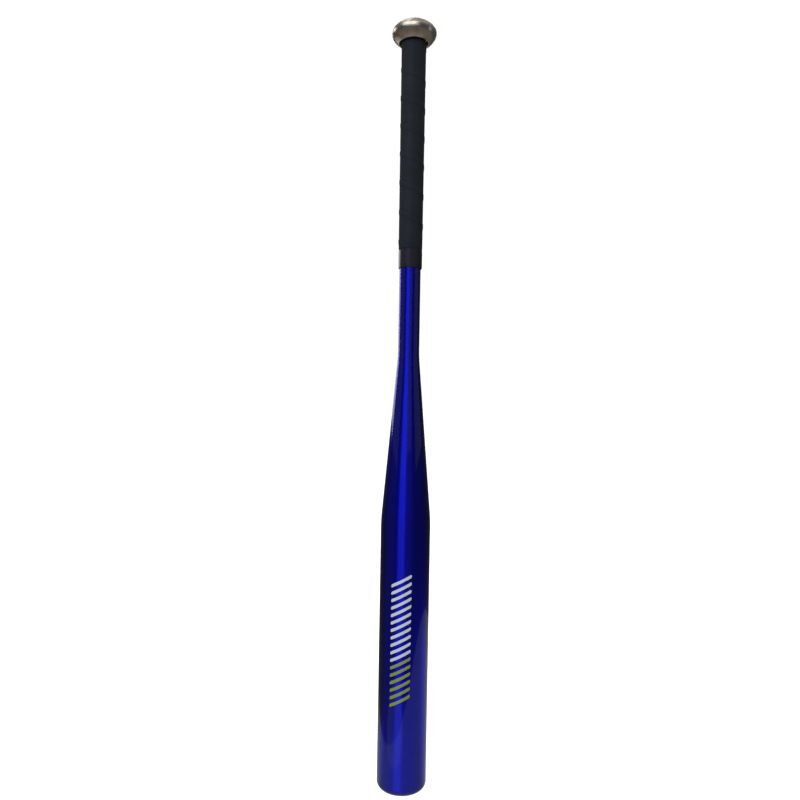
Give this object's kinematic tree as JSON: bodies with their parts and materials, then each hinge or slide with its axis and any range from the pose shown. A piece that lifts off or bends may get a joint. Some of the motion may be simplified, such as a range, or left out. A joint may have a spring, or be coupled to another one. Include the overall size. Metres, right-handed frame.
{
  "type": "baseball bat",
  "caption": "Adult aluminium baseball bat: glossy blue one-piece tube, round bare-metal knob, wrapped black grip, slanted printed bars on the barrel.",
  "frame": {"origin": "centre of the flat barrel end, on the axis of the bat", "axes": "+Z along the bat from barrel end to knob, -Y towards the front, which carries the printed bars"},
  "size_m": [0.0558, 0.0558, 0.864],
  "materials": {
    "blue_tube": "gloss",
    "plug_rubber": "matte",
    "damper_foam": "matte",
    "knob_metal": "satin",
    "weld_metal": "satin",
    "adhesive_film": "matte",
    "grip_leather": "matte",
    "vinyl_tape": "gloss",
    "lime_print": "gloss",
    "white_print": "gloss"
  },
  "bodies": {
    "root": {"bat_tube": "blue_tube", "end_plug": "plug_rubber", "end_foam": "damper_foam", "knob": "knob_metal", "knob_weld": "weld_metal", "grip_underlay": "adhesive_film", "grip_tape": "grip_leather", "finishing_tape": "vinyl_tape", "barrel_bars_lime": "lime_print", "barrel_bars_white": "white_print"}
  },
  "joints": []
}
